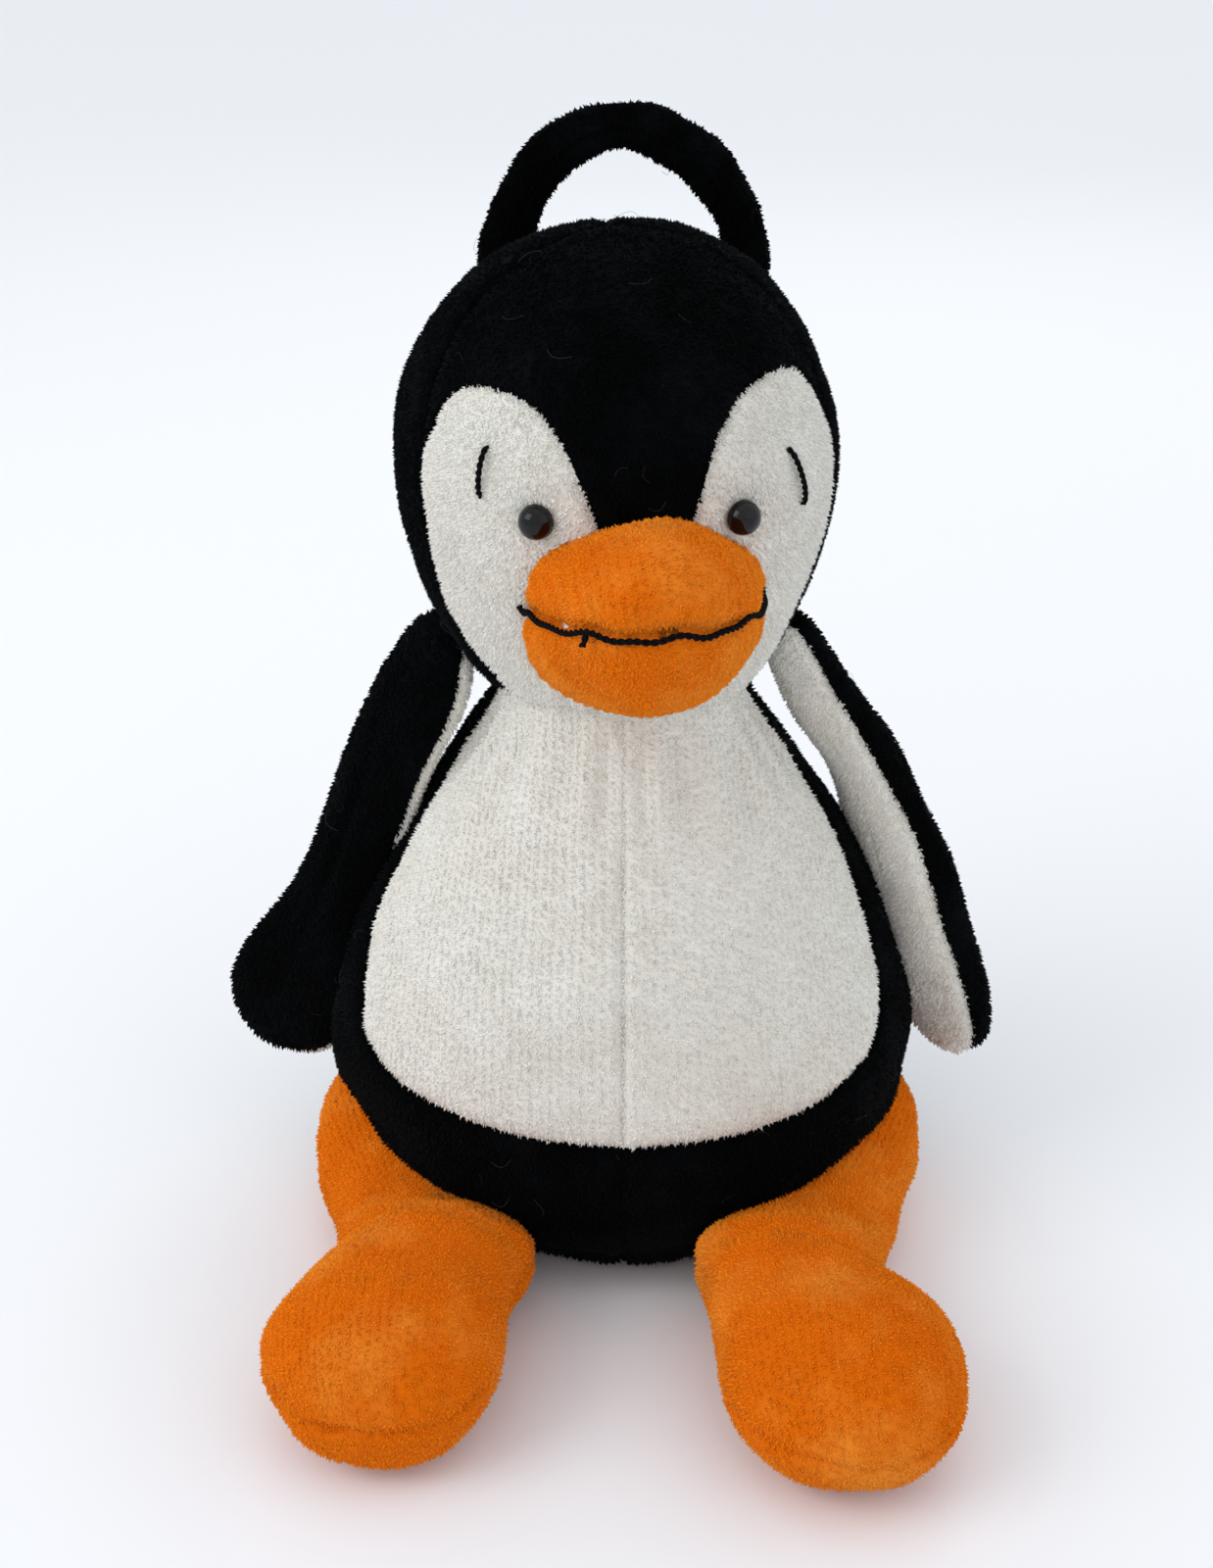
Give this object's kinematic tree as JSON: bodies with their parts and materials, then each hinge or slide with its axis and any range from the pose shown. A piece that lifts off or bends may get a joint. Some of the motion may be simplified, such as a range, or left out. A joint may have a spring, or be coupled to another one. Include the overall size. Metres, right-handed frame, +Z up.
{
  "type": "plush penguin",
  "caption": "Seated stuffed penguin with a turning, nodding egg-shaped head, puffed beak, limp flippers and legs, and a fabric carrying loop behind the head.",
  "frame": {"origin": "centre of the flat seat patch, on the plane the toy sits on", "axes": "+Z up through the head, -Y towards the face and the feet, +X towards the toy's own left, the viewer's right"},
  "size_m": [0.1986, 0.2069, 0.2695],
  "materials": {
    "black_velour": "short dense black pile velour with a faint cool sheen",
    "white_velour": "short cream-white pile velour with fine lengthwise ribs",
    "orange_velour": "short orange pile velour, lighter where the pile catches the light",
    "loop_fabric": "folded black short-pile fabric",
    "black_thread": "matt black embroidery thread and yarn",
    "eye_gloss": "glossy black moulded plastic",
    "washer_plastic": "plain moulded white plastic",
    "fibre_fill": "loose white polyester fibre"
  },
  "bodies": {
    "torso": {"belly_left": "white_velour", "belly_right": "white_velour", "body_side_left": "black_velour", "body_side_right": "black_velour", "seat_panel": "black_velour", "body_stuffing": "fibre_fill"},
    "neck": {"neck_stuffing": "fibre_fill"},
    "head": {"head_crown": "black_velour", "head_back_left": "black_velour", "head_back_right": "black_velour", "cheek_left": "white_velour", "cheek_right": "white_velour", "head_stuffing": "fibre_fill", "beak_upper": "orange_velour", "beak_lower": "orange_velour", "beak_stuffing": "fibre_fill", "mouth_stitch": "black_thread", "eye_left": "eye_gloss", "eye_right": "eye_gloss", "eye_washer_left": "washer_plastic", "eye_washer_right": "washer_plastic", "brow_stitch_left": "black_thread", "brow_stitch_right": "black_thread"},
    "loop": {"carry_loop": "loop_fabric"},
    "flipper_left": {"flipper_left_outer": "black_velour", "flipper_left_lining": "white_velour", "flipper_left_batting": "fibre_fill"},
    "flipper_right": {"flipper_right_outer": "black_velour", "flipper_right_lining": "white_velour", "flipper_right_batting": "fibre_fill"},
    "leg_left": {"leg_left_upper": "orange_velour", "leg_left_under": "orange_velour", "leg_left_stuffing": "fibre_fill"},
    "leg_right": {"leg_right_upper": "orange_velour", "leg_right_under": "orange_velour", "leg_right_stuffing": "fibre_fill"}
  },
  "joints": [
    {"name": "neck_turn", "type": "hinge", "parent": "torso", "child": "neck", "pos_m": [0, 0, 0.135], "axis": [0, 0, 1], "range_deg": [-30, 30]},
    {"name": "head_nod", "type": "hinge", "parent": "neck", "child": "head", "pos_m": [0, 0, 0.145], "axis": [1, 0, 0], "range_deg": [-12, 12]},
    {"name": "loop_flop", "type": "hinge", "parent": "head", "child": "loop", "pos_m": [0, 0.045, 0.212], "axis": [1, 0, 0], "range_deg": [-95, 10]},
    {"name": "flipper_left_lift", "type": "hinge", "parent": "torso", "child": "flipper_left", "pos_m": [-0.043, 0.001, 0.137], "axis": [0, 1, 0], "range_deg": [0, 90]},
    {"name": "flipper_right_lift", "type": "hinge", "parent": "torso", "child": "flipper_right", "pos_m": [0.043, 0.001, 0.137], "axis": [0, -1, 0], "range_deg": [0, 90]},
    {"name": "leg_left_swing", "type": "hinge", "parent": "torso", "child": "leg_left", "pos_m": [-0.07, -0.012, 0.025], "axis": [1, 0, 0], "range_deg": [-8, 70]},
    {"name": "leg_right_swing", "type": "hinge", "parent": "torso", "child": "leg_right", "pos_m": [0.07, -0.012, 0.025], "axis": [1, 0, 0], "range_deg": [-8, 70]}
  ]
}
